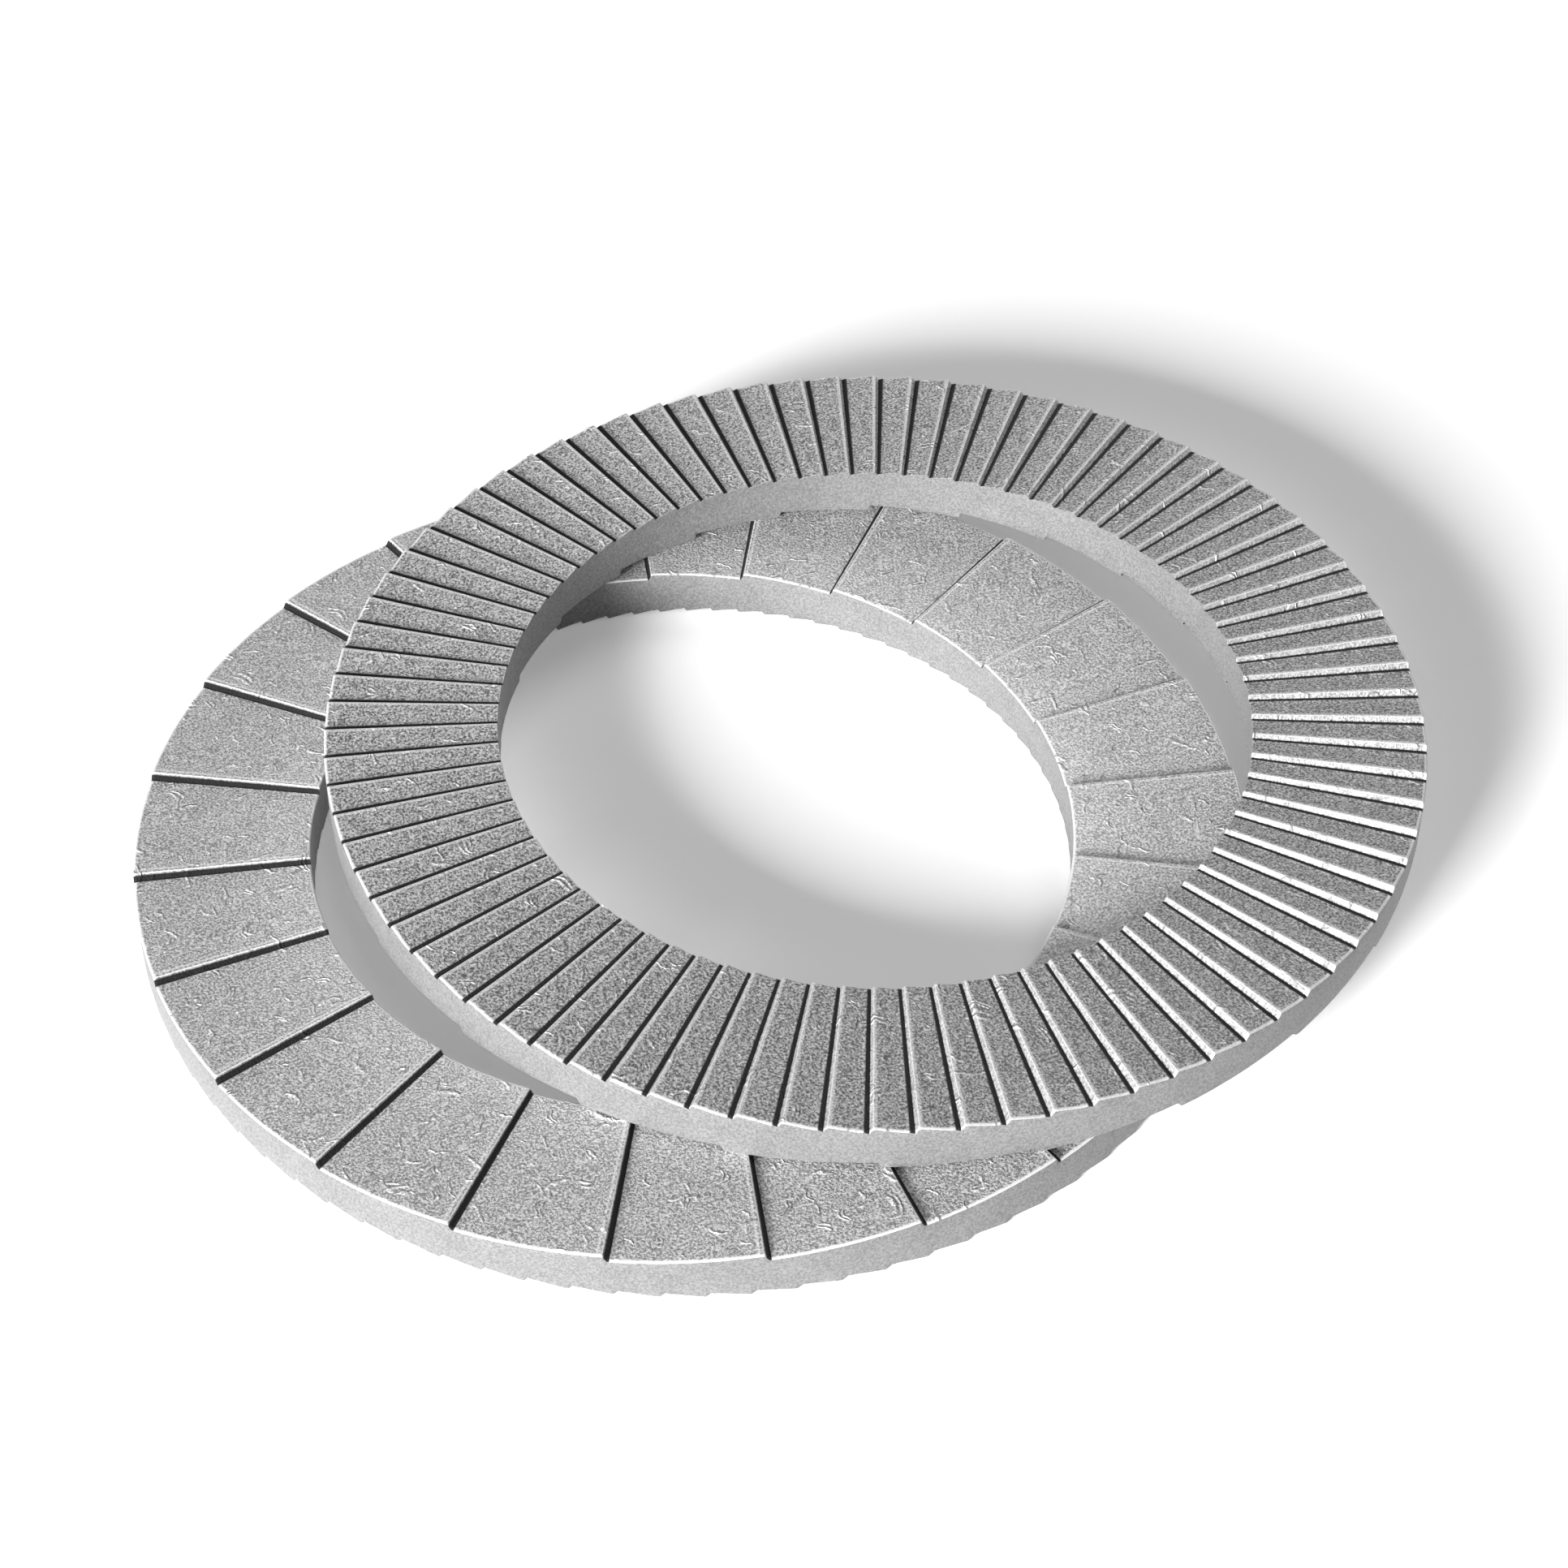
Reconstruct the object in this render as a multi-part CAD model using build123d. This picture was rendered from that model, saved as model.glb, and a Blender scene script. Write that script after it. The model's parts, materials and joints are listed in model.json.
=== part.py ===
from build123d import *
from math import atan2, cos, degrees, radians, sin, tan
import os

# A pair of wedge lock washers for an M42 bolt. Both are the same flat steel ring, with wide wedge cams
# coined into one face and fine saw teeth into the other. Every cam and tooth line is radial.
outer_diameter = 63.0
bore_diameter = 43.2
pair_thickness = 5.8        # over the tooth crests of the two washers, with their cams meshed

# Cam face: gentle ramps, each rising to a narrow crest that drops at a short wall
cam_count = 24
cam_rise = 0.34             # crest above root: 2.6 degrees at the rim, steeper than the bolt's thread
cam_land = 0.26             # flat of the crest at the rim, and of the root, so that two faces mesh
cam_wall_run = 0.24         # width of the sloping wall at the rim

# Tooth face: fine saw teeth that bite under the bolt head and into the joint
tooth_count = 84
tooth_depth = 0.33          # at the rim, and shallower towards the bore
tooth_land = 0.10           # flat of the crest at the rim
tooth_wall_run = 0.22       # width of the sloping wall at the rim

# The pair at rest: one washer flat on its teeth, the other flipped and laid level on its cam crests
rest_shift = 12.0           # from axis to axis, sideways

rim_radius = outer_diameter / 2
bore_radius = bore_diameter / 2
washer_height = (pair_thickness + cam_rise) / 2
cam_pitch = 360 / cam_count
tooth_pitch = 360 / tooth_count
upper_turn = cam_pitch / 2
overcut = cam_rise + tooth_depth


def angle_at_rim(width):
    """The angle in degrees that a width takes up at the rim."""
    return degrees(width / rim_radius)


def blank():
    """The plain ring over its crests: tooth face at z = 0, cam face up."""
    base = (Align.CENTER, Align.CENTER, Align.MIN)
    return Cylinder(rim_radius, washer_height, align=base) - Cylinder(bore_radius, washer_height, align=base)


def radial_cutter(corners, towards_axis):
    """Cutter with radial edges, from inside the bore to outside the rim.
    Each corner of its floor is an angle and a height at the rim, measured from the crests. Floors that run
    towards the axis rise with it, so that their depth is in proportion to the radius."""
    middle = (corners[0][0] + corners[-1][0]) / 2
    sections = []
    for station in (bore_radius - overcut, rim_radius + overcut):
        floor = []
        for angle, height in corners:
            turn = radians(angle - middle)
            share = station / cos(turn) / rim_radius if towards_axis else 1
            floor.append((station * tan(turn), height * share))
        top = [(floor[-1][0], overcut), (floor[0][0], overcut)]
        across = Plane(origin=(station, 0, 0), x_dir=(0, 1, 0), z_dir=(1, 0, 0))
        sections.append(across * make_face(Polyline(*floor, *top, close=True)))
    return Rot(Z=middle) * loft(sections, ruled=True)


def cam_gap_cutter():
    """Space between two cam crests: anticlockwise it is wall, root and ramp, the other way to the teeth.
    The ramp twists from the bore to the rim, because its rise is the same all along the radius."""
    crest = cam_pitch / 2 - angle_at_rim(cam_land) / 2
    wall_foot = -crest + angle_at_rim(cam_wall_run)
    ramp_foot = wall_foot + angle_at_rim(cam_land)
    corners = [(-crest, 0), (wall_foot, -cam_rise), (ramp_foot, -cam_rise), (crest, 0)]
    return radial_cutter(corners, towards_axis=False)


# Angles of one tooth gap from its middle: anticlockwise it is ramp, root and wall
tooth_crest = tooth_pitch / 2 - angle_at_rim(tooth_land) / 2
tooth_root = tooth_crest - angle_at_rim(tooth_wall_run)


def tooth_ramp_cutter():
    """Space over one tooth's ramp: a sector of a ring over a plane that tips down from the crest line."""
    ramp_angle = tooth_root + tooth_crest
    across = Rectangle(rim_radius - bore_radius + 2 * overcut, 2 * overcut)
    sector = revolve(Plane.XZ * Pos(X=(rim_radius + bore_radius) / 2) * across, Axis.Z, ramp_angle)
    tip = degrees(atan2(tooth_depth, rim_radius * sin(radians(ramp_angle))))
    over_ramp = Box(
        2 * outer_diameter, 2 * outer_diameter, 2 * overcut, align=(Align.CENTER, Align.CENTER, Align.MIN)
    )
    return Rot(Z=-tooth_crest) * (sector & Rot(X=-tip) * over_ramp)


def tooth_wall_cutter():
    """Space over one tooth's steep wall, from the root up to the next crest."""
    return radial_cutter([(tooth_root, -tooth_depth), (tooth_crest, 0)], towards_axis=True)


def washer():
    """One washer, lying on its teeth at z = 0 with its cams up."""
    cam_gap = cam_gap_cutter()
    tooth_gap = [tooth_ramp_cutter(), tooth_wall_cutter()]
    cutters = [Pos(Z=washer_height) * place * cam_gap for place in PolarLocations(0, cam_count)]
    for place in PolarLocations(0, tooth_count):
        cutters += [Rot(X=180) * place * cutter for cutter in tooth_gap]
    return (blank() - cutters).solid()


lower_washer = washer()
flipped = Rot(X=180) * Rot(Z=upper_turn) * lower_washer
nodes = {
    "lower_washer": Pos(X=-rest_shift / 2) * lower_washer,
    "upper_washer": Pos(X=rest_shift / 2, Z=2 * washer_height) * flipped,
}

os.makedirs("parts", exist_ok=True)
for name, solid in nodes.items():
    export_step(solid, f"parts/{name}.step")
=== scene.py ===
import bmesh
import bpy
import json
from bisect import bisect_right
from math import cos, hypot, pi, radians, sin
from mathutils import Matrix, Vector


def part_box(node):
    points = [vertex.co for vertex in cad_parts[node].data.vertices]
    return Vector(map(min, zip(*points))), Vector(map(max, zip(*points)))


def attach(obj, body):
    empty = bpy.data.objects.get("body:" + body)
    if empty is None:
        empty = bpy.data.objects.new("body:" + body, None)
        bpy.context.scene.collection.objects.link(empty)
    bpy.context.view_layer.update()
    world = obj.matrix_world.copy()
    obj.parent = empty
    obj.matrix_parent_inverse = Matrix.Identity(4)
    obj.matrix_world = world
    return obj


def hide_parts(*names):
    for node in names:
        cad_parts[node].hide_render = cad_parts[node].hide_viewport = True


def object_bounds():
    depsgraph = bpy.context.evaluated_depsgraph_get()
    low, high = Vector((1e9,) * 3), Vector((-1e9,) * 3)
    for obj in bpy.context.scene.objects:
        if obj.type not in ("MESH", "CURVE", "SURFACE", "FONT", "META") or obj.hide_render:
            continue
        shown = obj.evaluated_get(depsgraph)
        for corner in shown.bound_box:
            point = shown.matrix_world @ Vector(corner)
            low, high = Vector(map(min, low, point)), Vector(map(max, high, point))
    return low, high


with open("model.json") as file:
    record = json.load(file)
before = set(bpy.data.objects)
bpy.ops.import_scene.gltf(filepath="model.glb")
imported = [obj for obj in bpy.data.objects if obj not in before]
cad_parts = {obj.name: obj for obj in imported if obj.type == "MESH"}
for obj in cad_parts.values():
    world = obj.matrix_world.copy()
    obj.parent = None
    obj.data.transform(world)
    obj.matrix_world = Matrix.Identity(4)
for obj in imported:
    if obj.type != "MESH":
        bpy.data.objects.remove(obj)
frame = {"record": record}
cad_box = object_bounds()

# The lower washer. It is one flat ring of hardened steel: wide wedge cams are coined into its upper face
# and fine saw teeth into its lower one. A thin coat of zinc flake, sprayed and baked, covers it all.
MM = 0.001
washer_low, washer_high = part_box("lower_washer")
rim_radius = (washer_high.x - washer_low.x) / 2
bores = [mount for mount in frame["record"]["mounts"] if mount["kind"] == "bore"]
bore_radius = bores[0]["dims"]["r_mm"] * MM
washer_height = washer_high.z - washer_low.z

# Cams and teeth, with their widths along the rim
cam_count = 24
cam_rise = 0.34 * MM
cam_land = 0.26 * MM
cam_wall_run = 0.24 * MM
tooth_count = 84
tooth_depth = 0.33 * MM
tooth_land = 0.10 * MM
tooth_wall_run = 0.22 * MM
tooth_root_width = 0.54 * MM    # soft strip at the foot of a tooth's ramp, nearly level
tooth_root_fall = 0.01 * MM
groove_width = 0.24 * MM        # the part of that strip next to the wall, darkened by painted shade

# How far from each corner its rounding starts
crest_cut = 0.03 * MM
foot_cut = 0.02 * MM
cam_ramp_top_cut = 0.06 * MM
cam_ramp_foot_cut = 0.08 * MM
tooth_root_cut = 0.14 * MM

# Where the painted crease shade starts and ends, as shares of a cam's wall, of its root flat and of a
# tooth's wall
cam_shade_top = 0.38
cam_shade_end = 0.4
tooth_shade_top = 0.3

# Wear of the coat with painted highlight on edges and crests, from 0 to 1. Beside a tooth's crest it goes
# down the ramp and then fades.
full_wear = 1
cam_ramp_wear = 0.5
tooth_land_wear = 0.7
tooth_edge_wear = 0.6
tooth_ramp_wear = 0.5
tooth_wall_wear = 0.4
wear_width = 0.08 * MM
wear_fade_width = 0.144 * MM

# The section: broken edges, and the rows of the mesh
rim_break = 0.13 * MM
bore_break = 0.11 * MM
tooth_bore_break = 0.03 * MM
edge_wear_reach = 1.6           # the wear and painted highlight of a broken edge end at so many times its size
wall_rows = (0.3, 0.7)          # rows on the rim and in the bore, as shares of the height
plain_wall = (0.2, 0.8)         # between these shares neither cams nor teeth move the mesh
least_column = 0.004 * MM       # columns that would be nearer to each other are left out
least_sheen = 0.5              # painted sheen of a cam face at the rim, against 1 at the bore
wall_margin = 0.03 * MM         # faces so near to the rim or the bore have the coat of the turned walls
sharp_angle = radians(38)


def softened(line, steps=3, fade=1.5):
    """A line through corners, each rounded by a curve that starts and ends a cut away from it.
    A corner is its place, its drop, its cut, its wear with painted highlight and its painted crease shade.
    Either at two corners in a row goes on between them, and otherwise it fades out so many cuts away."""
    points = []
    for before, corner, after in zip(line, line[1:], line[2:]):
        place, cut, marks = Vector(corner[:2]), corner[2], corner[3:]
        if cut == 0:
            points.append((*place, *marks))
            continue
        back = (Vector(before[:2]) - place).normalized() * cut
        on = (Vector(after[:2]) - place).normalized() * cut
        points.append((*(place + back * fade), *map(min, marks, before[3:])))
        for step in range(steps + 1):
            share = step / steps
            points.append((*(place + back * (1 - share) ** 2 + on * share ** 2), *marks))
        points.append((*(place + on * fade), *map(min, marks, after[3:])))
    return points


def cam_line():
    """One cam gap from crest to crest, anticlockwise with the cams up: wall, root and ramp."""
    half = pi * rim_radius / cam_count
    crest = half - cam_land / 2
    foot = -crest + cam_wall_run
    return softened([
        (-half, 0, 0, 0, 0),
        (-crest, 0, crest_cut, full_wear, 0),
        (-crest + cam_shade_top * cam_wall_run, cam_shade_top * cam_rise, 0, 0, 1),
        (foot, cam_rise, foot_cut, 0, 1),
        (foot + cam_shade_end * cam_land, cam_rise, 0, 0, 1),
        (foot + cam_land, cam_rise, cam_ramp_foot_cut, 0, 0),
        (crest, 0, cam_ramp_top_cut, cam_ramp_wear, 0),
        (half, 0, 0, 0, 0),
    ])


def tooth_line():
    """One tooth gap from crest to crest, anticlockwise with the teeth up: ramp, groove and wall."""
    half = pi * rim_radius / tooth_count
    crest = half - tooth_land / 2
    foot = crest - tooth_wall_run
    root = foot - tooth_root_width
    slope = tooth_depth / (foot + crest)
    root_drop = (root + crest) * slope
    shade_top_drop = (1 - tooth_shade_top) * tooth_depth
    return softened([
        (-half, 0, 0, tooth_land_wear, 0),
        (-crest, 0, crest_cut, tooth_edge_wear, 0),
        (-crest + wear_width, wear_width * slope, 0, tooth_ramp_wear, 0),
        (-crest + wear_fade_width, wear_fade_width * slope, 0, 0, 0),
        (root, root_drop, tooth_root_cut, 0, 0),
        (foot - groove_width, root_drop + tooth_root_fall, 0, 0, 1),
        (foot, tooth_depth, foot_cut, 0, 1),
        (foot + tooth_shade_top * tooth_wall_run, shade_top_drop, 0, tooth_wall_wear, 0),
        (crest, 0, crest_cut, full_wear, 0),
        (half, 0, 0, tooth_land_wear, 0),
    ])


def all_round(line, count):
    """The line of one pitch, repeated round the rim, with its places turned into angles."""
    pitch = 2 * pi / count
    return [
        (turn * pitch + point[0] / rim_radius, *point[1:])
        for turn in range(-1, count + 1)
        for point in line
    ]


def face_at(line, angle):
    """What a face is at an angle: its drop below the crests, its wear with painted highlight and its
    painted crease shade.
    """
    after = bisect_right(line, (angle,))
    start, end = line[after - 1], line[after]
    share = (angle - start[0]) / (end[0] - start[0])
    return [low + (high - low) * share for low, high in zip(start[1:], end[1:])]


def quarter(radius, height, size, start, steps=3):
    """A rounded corner of the section, as radius, height and how much of an edge it is."""
    turns = [radians(start + 90 * step / steps) for step in range(steps + 1)]
    return [(radius + size * cos(turn), height + size * sin(turn), 1) for turn in turns]


def section(rows=5):
    """The ring's section: radius, height and how much of an edge each point is, tooth face first."""
    width = rim_radius - bore_radius
    across = [bore_radius + width * row / rows for row in range(1, rows)]
    outline = [(bore_radius + tooth_bore_break, 0, 1), (bore_radius + 2 * tooth_bore_break, 0, 0)]
    outline += [(radius, 0, 0) for radius in across]
    outline += [(rim_radius - edge_wear_reach * rim_break, 0, 0)]
    outline += quarter(rim_radius - rim_break, rim_break, rim_break, -90)
    outline += [(rim_radius, washer_height * share, 0) for share in wall_rows]
    outline += quarter(rim_radius - rim_break, washer_height - rim_break, rim_break, 0)
    outline += [(rim_radius - edge_wear_reach * rim_break, washer_height, 0)]
    outline += [(radius, washer_height, 0) for radius in reversed(across)]
    outline += [(bore_radius + edge_wear_reach * bore_break, washer_height, 0)]
    outline += quarter(bore_radius + bore_break, washer_height - bore_break, bore_break, 90)
    outline += [(bore_radius, washer_height * share, 0) for share in reversed(wall_rows)]
    outline += [(bore_radius, tooth_bore_break, 1)]
    return outline


def washer_mesh(name, place):
    """One washer. A flat sheet is rolled round the section and then round the axis, its edges are merged,
    and each of its columns is set to the height of the cams above it and of the teeth below. Each point
    keeps its wear with painted highlight, its painted crease shade and its painted sheen, for the coat."""
    cams = all_round(cam_line(), cam_count)
    teeth = all_round(tooth_line(), tooth_count)
    corners = [cam[0] for cam in cams] + [-tooth[0] for tooth in teeth]
    turns = sorted({round(corner % (2 * pi), 6) for corner in corners})
    nearest = least_column / rim_radius
    turns = [turn for before, turn in zip([-1] + turns, turns) if turn - before > nearest]
    outline = section()

    shape = bmesh.new()
    columns, rows = len(turns), len(outline)
    bmesh.ops.create_grid(shape, x_segments=columns, y_segments=rows, size=0.5)
    wear_and_highlight_layer = shape.verts.layers.float.new("wear_and_highlight")
    crease_shade_layer = shape.verts.layers.float.new("crease_shade")
    painted_sheen_layer = shape.verts.layers.float.new("painted_sheen")
    for vert in shape.verts:
        turn = turns[round((vert.co.x + 0.5) * columns) % columns]
        radius, height, edge = outline[round((vert.co.y + 0.5) * rows) % rows]
        coined = 0 if plain_wall[0] < height / washer_height < plain_wall[1] else 1
        if height > washer_height / 2:
            drop, wear_and_highlight, crease_shade = face_at(cams, turn)
            height -= drop * coined
            inward = (rim_radius - radius) / (rim_radius - bore_radius)
            # painted sheen on the cam faces, rising towards the bore
            vert[painted_sheen_layer] = max(inward, least_sheen) * coined
        else:
            drop, wear_and_highlight, crease_shade = face_at(teeth, 2 * pi - turn)
            height += drop * coined * radius / rim_radius
        vert.co = (radius * cos(turn), radius * sin(turn), height)
        # wear together with painted highlight on broken edges and crests
        vert[wear_and_highlight_layer] = max(wear_and_highlight, edge) * coined
        # painted crease shade: how much the colour is darkened here
        vert[crease_shade_layer] = crease_shade * coined
    bmesh.ops.remove_doubles(shape, verts=shape.verts, dist=0.0001 * MM)
    bmesh.ops.recalc_face_normals(shape, faces=shape.faces)
    for face in shape.faces:
        middle = face.calc_center_median()
        radius = hypot(middle.x, middle.y)
        turned = min(abs(radius - rim_radius), abs(radius - bore_radius)) < wall_margin
        face.material_index = 1 if turned else 0
        face.smooth = True
    bmesh.ops.transform(shape, matrix=place, verts=shape.verts)
    mesh = bpy.data.meshes.new(name)
    shape.to_mesh(mesh)
    shape.free()
    mesh.set_sharp_from_angle(angle=sharp_angle)
    return mesh


def new_material(name, metallic):
    """An empty finish: the material, its tree and its shader."""
    material = bpy.data.materials.new(name)
    material.use_nodes = True
    shader = material.node_tree.nodes["Principled BSDF"]
    shader.inputs["Metallic"].default_value = metallic
    return material, material.node_tree, shader


def new_group(name, numbers, masks):
    """A shared effect: its tree and its two ends. It takes a place and some numbers, and gives masks."""
    tree = bpy.data.node_groups.new(name, "ShaderNodeTree")
    tree.interface.new_socket("Place", in_out="INPUT", socket_type="NodeSocketVector")
    for socket, value in numbers.items():
        made = tree.interface.new_socket(socket, in_out="INPUT", socket_type="NodeSocketFloat")
        made.default_value = value
    for socket in masks:
        tree.interface.new_socket(socket, in_out="OUTPUT", socket_type="NodeSocketFloat")
    return tree, tree.nodes.new("NodeGroupInput"), tree.nodes.new("NodeGroupOutput")


def put(tree, kind, inputs, **settings):
    """A node with its settings and inputs. An input is a value, or the output that feeds it."""
    node = tree.nodes.new(kind)
    for name, value in settings.items():
        setattr(node, name, value)
    for socket, value in inputs.items():
        if isinstance(value, bpy.types.NodeSocket):
            tree.links.new(value, node.inputs[socket])
        else:
            node.inputs[socket].default_value = value
    return node


def number(tree, operation, *values, clamp=False):
    """The result of a sum on numbers."""
    inputs = dict(enumerate(values))
    return put(tree, "ShaderNodeMath", inputs, operation=operation, use_clamp=clamp).outputs["Value"]


def vector(tree, operation, inputs):
    """The result of a sum on vectors."""
    return put(tree, "ShaderNodeVectorMath", inputs, operation=operation).outputs["Vector"]


def sandy_grain():
    """Salt-and-pepper grain of the flake, and the clouds it lies in, from -1 to 1."""
    tree, start, end = new_group(
        "sandy grain", {"Grain per m": 7200, "Cloud per m": 500}, ["Grain", "Cloud"]
    )
    for output, per_m, detail, low, high in (
        ("Grain", "Grain per m", 2, 0.36, 0.64),
        ("Cloud", "Cloud per m", 3, 0.3, 0.7),
    ):
        inputs = {"Vector": start.outputs["Place"], "Scale": start.outputs[per_m]}
        noise = put(tree, "ShaderNodeTexNoise", {**inputs, "Detail": detail, "Roughness": 0.65})
        stretched = put(
            tree, "ShaderNodeMapRange",
            {"Value": noise.outputs["Fac"], "From Min": low, "From Max": high, "To Min": -1, "To Max": 1},
        )
        tree.links.new(stretched.outputs["Result"], end.inputs[output])
    return tree


def flake_marks():
    """Short curved strokes that the flake leaves, each in a cell of its own and turned its own way. Their
    sizes are shares of a cell, and a stroke whose reach comes out below nothing isn't there."""
    wobble_scale, wobble = 3.0, 0.3
    most_bend = 1.5
    half_width = 0.06
    twin_chance, twin_offset = 0.72, 0.07       # above that chance a stroke is double
    reach_spread, reach_loss = 0.45, 0.08
    end_sharpness = 12.0

    tree, start, end = new_group("flake marks", {"Cells per m": 600}, ["Height"])
    scaled = vector(tree, "SCALE", {0: start.outputs["Place"], "Scale": start.outputs["Cells per m"]})
    noise = put(tree, "ShaderNodeTexNoise", {"Vector": scaled, "Scale": wobble_scale, "Detail": 1.0})
    scaled = vector(tree, "MULTIPLY_ADD", {0: noise.outputs["Color"], 1: (wobble,) * 3, 2: scaled})
    cell = put(tree, "ShaderNodeTexVoronoi", {"Vector": scaled, "Scale": 1.0}, voronoi_dimensions="2D")
    own = vector(tree, "SUBTRACT", {0: scaled, 1: cell.outputs["Position"]})
    chance = put(tree, "ShaderNodeSeparateColor", {"Color": cell.outputs["Color"]}).outputs
    turn = number(tree, "MULTIPLY", chance["Red"], 2 * pi)
    turned = put(tree, "ShaderNodeVectorRotate", {"Vector": own, "Angle": turn}, rotation_type="Z_AXIS")
    flat = put(tree, "ShaderNodeSeparateXYZ", {"Vector": turned.outputs["Vector"]}).outputs

    bend = number(tree, "MULTIPLY_ADD", chance["Green"], 2 * most_bend, -most_bend)
    bow = number(tree, "MULTIPLY", number(tree, "MULTIPLY", flat["X"], flat["X"]), bend)
    off = number(tree, "ABSOLUTE", number(tree, "SUBTRACT", flat["Y"], bow))
    double = number(tree, "GREATER_THAN", chance["Green"], twin_chance)
    twin = number(tree, "MULTIPLY", double, twin_offset)
    off = number(tree, "ABSOLUTE", number(tree, "SUBTRACT", off, twin))
    ridge = number(tree, "MULTIPLY_ADD", off, -1 / half_width, 1.0, clamp=True)

    reach = number(tree, "MULTIPLY_ADD", chance["Blue"], reach_spread, -reach_loss)
    inside = number(tree, "SUBTRACT", reach, number(tree, "ABSOLUTE", flat["X"]))
    ends = number(tree, "MULTIPLY", inside, end_sharpness, clamp=True)
    tree.links.new(number(tree, "MULTIPLY", ridge, ends), end.inputs["Height"])
    return tree


grain_group = sandy_grain()
marks_group = flake_marks()


def dress(tree, shader, tone, height, relief):
    """Gives a coat its grey, and its relief of so many metres."""
    colour = put(tree, "ShaderNodeCombineColor", {"Red": tone, "Green": tone, "Blue": tone})
    tree.links.new(colour.outputs["Color"], shader.inputs["Base Color"])
    bump = put(tree, "ShaderNodeBump", {"Height": height, "Strength": 1.0, "Distance": relief})
    tree.links.new(bump.outputs["Normal"], shader.inputs["Normal"])


def coined_coat():
    """Zinc flake on the coined faces: matte and sandy, with strokes that stand proud. It is smooth and pale
    where it is worn and where highlight is painted on edges and crests, painted dark for shade and dull in
    the creases, and given a painted sheen that makes the cam faces paler, most of all at the bore."""
    plain_tone = 0.39
    sand_tone = 0.32
    stroke_tone = 0.2
    cloud_tone = 0.03
    sheen_tone = 0.32
    wear_and_highlight_tone = 0.45
    worn_smooth = 0.75          # how much of the grain full wear takes off
    painted_crease_shade = 0.97          # how much of the tone full painted crease shade takes off
    plain_rough, sand_rough, crease_rough = 0.45, 0.08, 0.5
    stroke_height = 6.0         # against 1 for the grain
    wide_cells = 410            # per metre, for the second, larger set of strokes

    material, tree, shader = new_material("coined_coat", metallic=0.2)
    place = tree.nodes.new("ShaderNodeTexCoord").outputs["Object"]
    grain = put(tree, "ShaderNodeGroup", {"Place": place}, node_tree=grain_group).outputs
    marks = put(tree, "ShaderNodeGroup", {"Place": place}, node_tree=marks_group).outputs
    wide_marks = put(
        tree, "ShaderNodeGroup", {"Place": place, "Cells per m": wide_cells}, node_tree=marks_group
    ).outputs
    wear_and_highlight, crease_shade, painted_sheen = (
        put(tree, "ShaderNodeAttribute", {}, attribute_name=name).outputs["Fac"]
        for name in ("wear_and_highlight", "crease_shade", "painted_sheen")
    )

    grain_kept = number(tree, "MULTIPLY_ADD", wear_and_highlight, -worn_smooth, 1.0)
    sand = number(tree, "MULTIPLY", grain["Grain"], grain_kept)
    strokes = number(tree, "MAXIMUM", marks["Height"], wide_marks["Height"])
    tone = number(tree, "MULTIPLY_ADD", sand, sand_tone, plain_tone)
    tone = number(tree, "MULTIPLY_ADD", strokes, stroke_tone, tone)
    tone = number(tree, "MULTIPLY_ADD", grain["Cloud"], cloud_tone, tone)
    # painted sheen: the cam faces are made paler, most of all towards the bore
    tone = number(tree, "MULTIPLY_ADD", painted_sheen, sheen_tone, tone)
    # wear and painted highlight: broken edges, crest lands and a band down each ramp beside a crest are
    # paler
    tone = number(tree, "MULTIPLY_ADD", wear_and_highlight, wear_and_highlight_tone, tone, clamp=True)
    # painted shade: the colour is darkened in creases, on cam walls and in the strip next to each tooth
    # wall
    tone_kept = number(tree, "MULTIPLY_ADD", crease_shade, -painted_crease_shade, 1.0)
    tone = number(tree, "MULTIPLY", tone, tone_kept)
    rough = number(tree, "MULTIPLY_ADD", grain["Grain"], sand_rough, plain_rough)
    rough = number(tree, "MULTIPLY_ADD", crease_shade, crease_rough, rough, clamp=True)
    tree.links.new(rough, shader.inputs["Roughness"])
    height = number(tree, "MULTIPLY_ADD", strokes, stroke_height, sand)
    dress(tree, shader, tone, height, relief=0.016 * MM)
    return material


def edge_coat():
    """The same coat on the turned rim and bore: smoother and more even, with a faint speckle."""
    plain_tone = 0.32
    sand_tone = 0.08
    cloud_tone = 0.02

    material, tree, shader = new_material("edge_coat", metallic=0.12)
    shader.inputs["Roughness"].default_value = 0.5
    place = tree.nodes.new("ShaderNodeTexCoord").outputs["Object"]
    grain = put(tree, "ShaderNodeGroup", {"Place": place}, node_tree=grain_group).outputs
    tone = number(tree, "MULTIPLY_ADD", grain["Grain"], sand_tone, plain_tone)
    tone = number(tree, "MULTIPLY_ADD", grain["Cloud"], cloud_tone, tone)
    dress(tree, shader, tone, grain["Grain"], relief=0.004 * MM)
    return material


coats = [coined_coat(), edge_coat()]


def lay_washer(name, node, place):
    """One washer in its place, standing for its CAD node."""
    mesh = washer_mesh(name, place)
    for coat in coats:
        mesh.materials.append(coat)
    piece = bpy.data.objects.new(name, mesh)
    bpy.context.scene.collection.objects.link(piece)
    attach(piece, "root")
    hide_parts(node)


lower_centre = (washer_low + washer_high) / 2
on_table = Matrix.Translation((lower_centre.x, lower_centre.y, washer_low.z))
lay_washer("lower_washer_coined", "lower_washer", on_table)

# The upper washer. It is a second one, turned over so that its cams meet the lower one's, and laid level
# on their crests, a little to the side.
upper_low, upper_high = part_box("upper_washer")
upper_centre = (upper_low + upper_high) / 2
upper_turn = pi / cam_count
flip = Matrix.Rotation(pi, 4, "X") @ Matrix.Rotation(upper_turn, 4, "Z")
above = Matrix.Translation((upper_centre.x, upper_centre.y, upper_high.z))
lay_washer("upper_washer_coined", "upper_washer", above @ flip)

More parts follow.
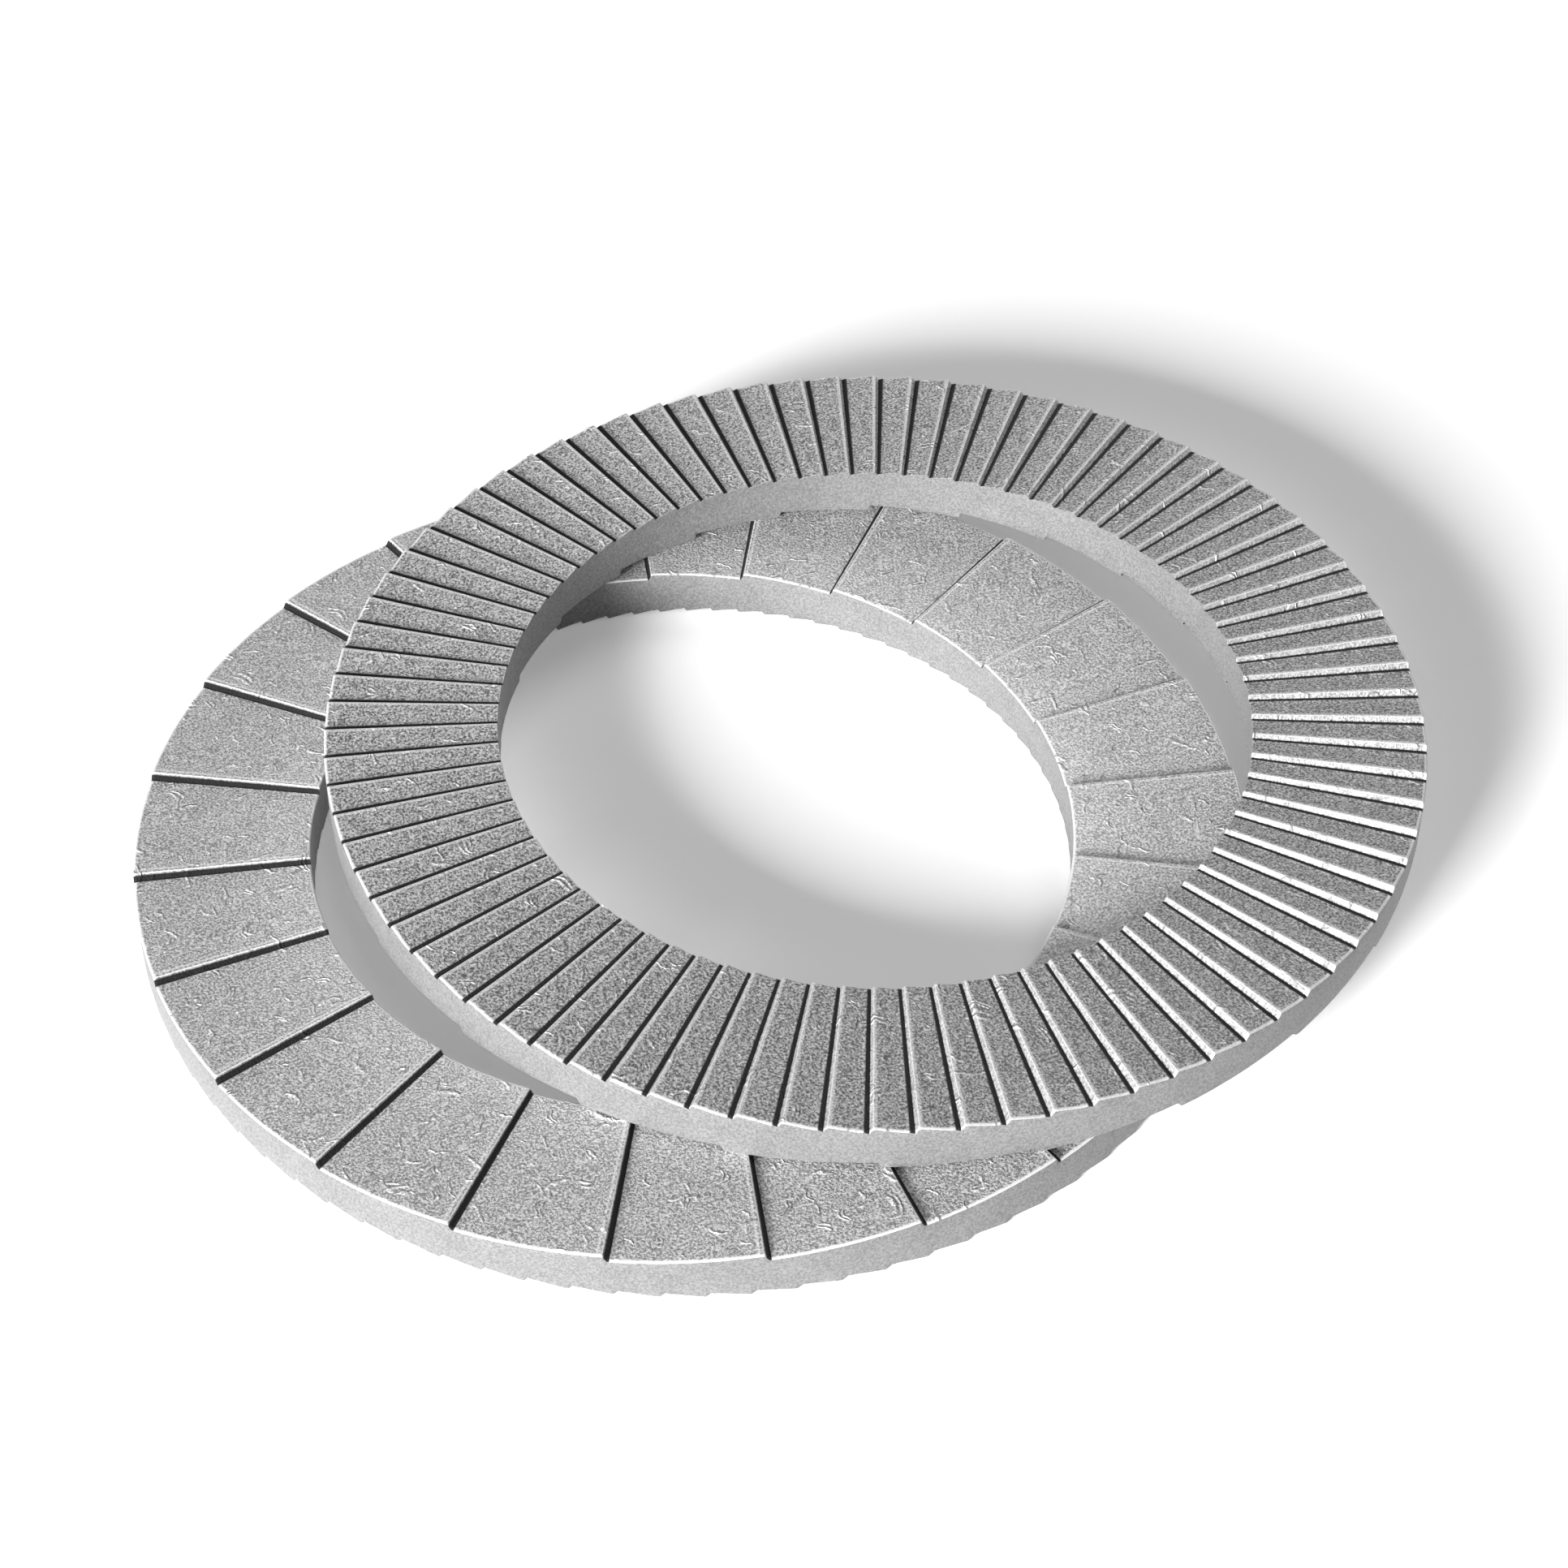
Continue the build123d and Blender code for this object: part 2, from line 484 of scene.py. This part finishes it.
# The table: a plain white sheet, which lights the washers as white paint does. The camera and reflections
# see it whiter, glowing to pure white further out, so that it keeps the shadow and shows no far edge.
floor_size = 4.0
floor_colour = (0.9, 0.9, 0.9, 1)
seen_colour = (1.6, 1.6, 1.6, 1)
glow_start, glow_full = 0.12, 0.5       # metres from the middle
near_glow, far_glow = 0.2, 1.0

sheet = bmesh.new()
bmesh.ops.create_grid(sheet, x_segments=1, y_segments=1, size=floor_size / 2)
floor = bpy.data.meshes.new("floor")
sheet.to_mesh(floor)
sheet.free()
floor_piece = bpy.data.objects.new("floor", floor)
bpy.context.scene.collection.objects.link(floor_piece)


def seen_directly(tree):
    """Where the camera sees a surface itself, through glass or in metal, and not by its light."""
    path = tree.nodes.new("ShaderNodeLightPath").outputs
    through = number(tree, "MAXIMUM", path["Is Camera Ray"], path["Is Transmission Ray"])
    return number(tree, "MAXIMUM", through, path["Is Glossy Ray"])


floor_white = bpy.data.materials.new("floor_white")
floor_white.use_nodes = True
tree = floor_white.node_tree
tree.nodes.remove(tree.nodes["Principled BSDF"])
plain = put(tree, "ShaderNodeBsdfDiffuse", {"Color": floor_colour})
lit = put(tree, "ShaderNodeBsdfDiffuse", {"Color": seen_colour})
place = tree.nodes.new("ShaderNodeTexCoord").outputs["Object"]
away = put(tree, "ShaderNodeVectorMath", {0: place}, operation="LENGTH").outputs["Value"]
glow_level = put(
    tree, "ShaderNodeMapRange",
    {"Value": away, "From Min": glow_start, "From Max": glow_full, "To Min": near_glow, "To Max": far_glow},
)
glow = put(tree, "ShaderNodeEmission", {"Strength": glow_level.outputs["Result"]})
seen = put(tree, "ShaderNodeAddShader", {0: lit.outputs["BSDF"], 1: glow.outputs["Emission"]})
mix = put(
    tree, "ShaderNodeMixShader",
    {"Fac": seen_directly(tree), 1: plain.outputs["BSDF"], 2: seen.outputs["Shader"]},
)
tree.links.new(mix.outputs["Shader"], tree.nodes["Material Output"].inputs["Surface"])
floor.materials.append(floor_white)

# The studio: white all round, a low soft key lamp from the front left, a weak one from the back right, and
# a camera at the photograph's angle to the toothed face.
world_light = 0.06
world_seen = 1.0
camera_azimuth = -30
camera_elevation = 44
camera_distance = 0.200
middle = (cad_box[0] + cad_box[1]) / 2

world = bpy.data.worlds.new("studio")
bpy.context.scene.world = world
world.use_nodes = True
tree = world.node_tree
strength = put(
    tree, "ShaderNodeMapRange", {"Value": seen_directly(tree), "To Min": world_light, "To Max": world_seen}
)
background = tree.nodes["Background"]
background.inputs["Color"].default_value = (1, 1, 1, 1)
tree.links.new(strength.outputs["Result"], background.inputs["Strength"])


def direction(azimuth, elevation):
    """The way from the washers to a lamp or the camera, for angles in degrees."""
    turn, lift = radians(azimuth), radians(elevation)
    return Vector((sin(turn) * cos(lift), -cos(turn) * cos(lift), sin(lift)))


def aimed(name, data, azimuth, elevation, distance):
    """A lamp or the camera, at a distance and turned to the washers."""
    holder = bpy.data.objects.new(name, data)
    away = direction(azimuth, elevation)
    holder.location = middle + away * distance
    holder.rotation_mode = "QUATERNION"
    holder.rotation_quaternion = away.to_track_quat("Z", "Y")
    bpy.context.scene.collection.objects.link(holder)
    return holder


def soft_lamp(name, azimuth, elevation, size, light, distance=1.4):
    """A square soft box. Its light is the brightness that it gives a white card that faces it."""
    lamp = bpy.data.lights.new(name, "AREA")
    lamp.size = size
    lamp.energy = light * pi * pi * distance ** 2
    aimed(name, lamp, azimuth, elevation, distance)


soft_lamp("key", camera_azimuth - 36, elevation=18, size=0.42, light=1.75)
soft_lamp("back", camera_azimuth + 150, elevation=38, size=0.6, light=0.16)

camera_data = bpy.data.cameras.new("camera")
camera_data.lens = 80
camera_data.sensor_width = 36
camera_data.clip_start = 0.01
camera = aimed("camera", camera_data, camera_azimuth, camera_elevation, camera_distance)
bpy.context.scene.camera = camera
bpy.context.scene.view_settings.view_transform = "Standard"
